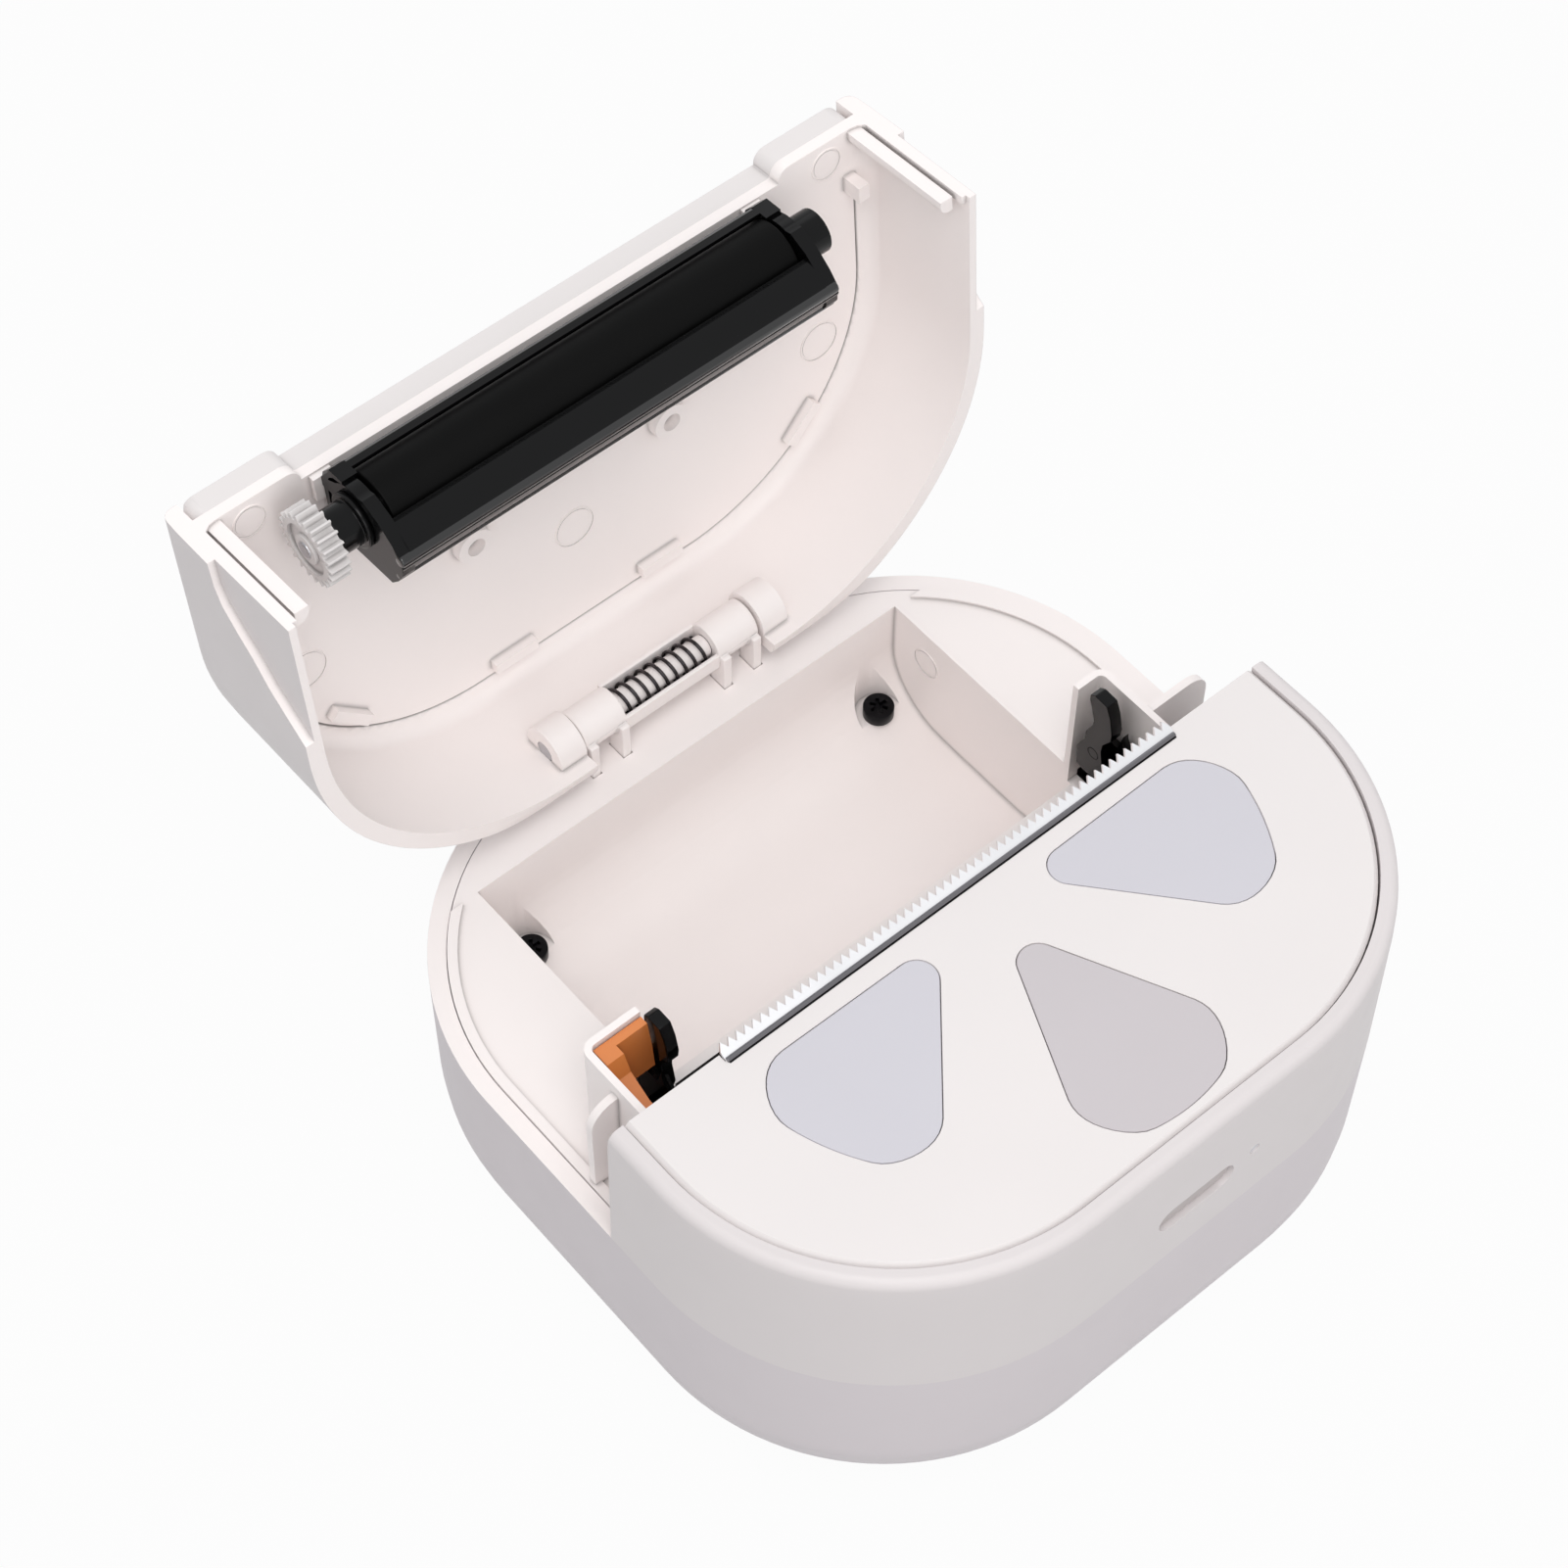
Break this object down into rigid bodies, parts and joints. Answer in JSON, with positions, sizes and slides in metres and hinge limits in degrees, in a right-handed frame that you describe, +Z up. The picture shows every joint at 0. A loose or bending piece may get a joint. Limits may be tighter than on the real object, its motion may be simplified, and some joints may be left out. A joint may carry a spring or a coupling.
{
  "type": "receipt printer",
  "caption": "Pocket thermal receipt printer with a drop-in paper bay, hinged platen lid, print mechanism and serrated tear blade.",
  "frame": {"origin": "middle of the non-slip pad's underside, on the surface it stands on, under the middle of the body", "axes": "+Z up, front with the power button faces -Y, +X to the right seen from the front"},
  "size_m": [0.088, 0.1034, 0.0782],
  "materials": {
    "base_white": "satin moulded plastic",
    "cover_white": "satin moulded plastic",
    "tray_white": "satin moulded plastic",
    "plate_white": "fine matt plastic",
    "petal_blue_grey": "matt inlay",
    "petal_warm_grey": "matt inlay",
    "black_plastic": "half-gloss moulded",
    "amber_plastic": "half-gloss moulded",
    "gear_white": "moulded acetal",
    "roller_rubber": "ground rubber",
    "pad_rubber": "silicone",
    "blade_steel": "stamped stainless",
    "pin_steel": "drawn steel",
    "spring_steel": "spring wire",
    "black_steel": "black oxide",
    "head_aluminium": "rolled plate",
    "head_ceramic": "glazed ceramic substrate",
    "board_green": "solder mask",
    "battery_foil": "film wrap",
    "pipe_clear": "frosted acrylic"
  },
  "bodies": {
    "base": {"base_shell": "base_white", "foot_pad": "pad_rubber", "tray": "tray_white", "tray_screws": "black_steel", "front_cover": "cover_white", "top_plate": "plate_white", "petal_left": "petal_blue_grey", "petal_right": "petal_blue_grey", "petal_front": "petal_warm_grey", "tear_blade": "blade_steel", "hinge_bracket": "tray_white", "hinge_pin": "pin_steel", "torsion_spring": "spring_steel", "mech_frame": "black_plastic", "frame_screws": "pin_steel", "gearbox_cover": "amber_plastic", "stepper_motor": "pin_steel", "head_springs": "spring_steel", "paper_sensor": "black_plastic", "main_board": "board_green", "usb_board": "board_green", "key_board": "board_green", "tact_switch": "black_plastic", "light_pipe": "pipe_clear", "battery": "battery_foil", "usb_socket": "pin_steel", "base_screws": "pin_steel", "plate_screws": "pin_steel"},
    "lid": {"lid_shell": "tray_white", "lid_panel": "plate_white", "platen_bracket": "black_plastic", "platen_bushings": "black_plastic"},
    "platen": {"platen_shaft": "pin_steel", "platen_rubber": "roller_rubber", "platen_gear": "gear_white"},
    "latch_left": {"latch_left": "black_plastic"},
    "latch_right": {"latch_right": "black_plastic"},
    "print_head": {"head_sink": "head_aluminium", "head_ceramic": "head_ceramic"},
    "button": {"power_button": "cover_white"},
    "idler": {"idler_gear": "gear_white"},
    "pinion": {"motor_pinion": "gear_white"}
  },
  "joints": [
    {"name": "lid_hinge", "type": "hinge", "parent": "base", "child": "lid", "pos_m": [0.001, 0.0409, 0.031], "axis": [1, 0, 0], "range_deg": [0, 94.5], "stiffness_Nm_per_rad": 0.0025, "springref_deg": -28.65},
    {"name": "platen_spin", "type": "hinge", "parent": "lid", "child": "platen", "pos_m": [0, 0.0494, 0.07397], "axis": [1, 0, 0], "continuous": true},
    {"name": "latch_left_pivot", "type": "hinge", "parent": "base", "child": "latch_left", "pos_m": [-0.03005, 0.0026, 0.0321], "axis": [-1, 0, 0], "range_deg": [0, 6], "stiffness_Nm_per_rad": 0.002, "springref_deg": -8.59},
    {"name": "latch_right_pivot", "type": "hinge", "parent": "base", "child": "latch_right", "pos_m": [0.03005, 0.0026, 0.0321], "axis": [-1, 0, 0], "range_deg": [0, 6], "stiffness_Nm_per_rad": 0.002, "springref_deg": -8.59},
    {"name": "head_pivot", "type": "hinge", "parent": "base", "child": "print_head", "pos_m": [0, -0.00905, 0.0305], "axis": [1, 0, 0], "range_deg": [0, 2], "stiffness_Nm_per_rad": 0.12, "springref_deg": -11.46},
    {"name": "button_press", "type": "slide", "parent": "base", "child": "button", "axis": [0, 1, 0], "range_m": [0, 0.0005], "stiffness_N_per_m": 300, "springref_m": -0.001},
    {"name": "idler_spin", "type": "hinge", "parent": "base", "child": "idler", "pos_m": [-0.0333, -0.0037, 0.02668], "axis": [1, 0, 0], "continuous": true},
    {"name": "pinion_spin", "type": "hinge", "parent": "base", "child": "pinion", "pos_m": [-0.0333, -0.00607, 0.02017], "axis": [1, 0, 0], "continuous": true}
  ],
  "couplings": [
    {"joint": "pinion_spin", "follows": "idler_spin", "ratio": -2.1667}
  ]
}
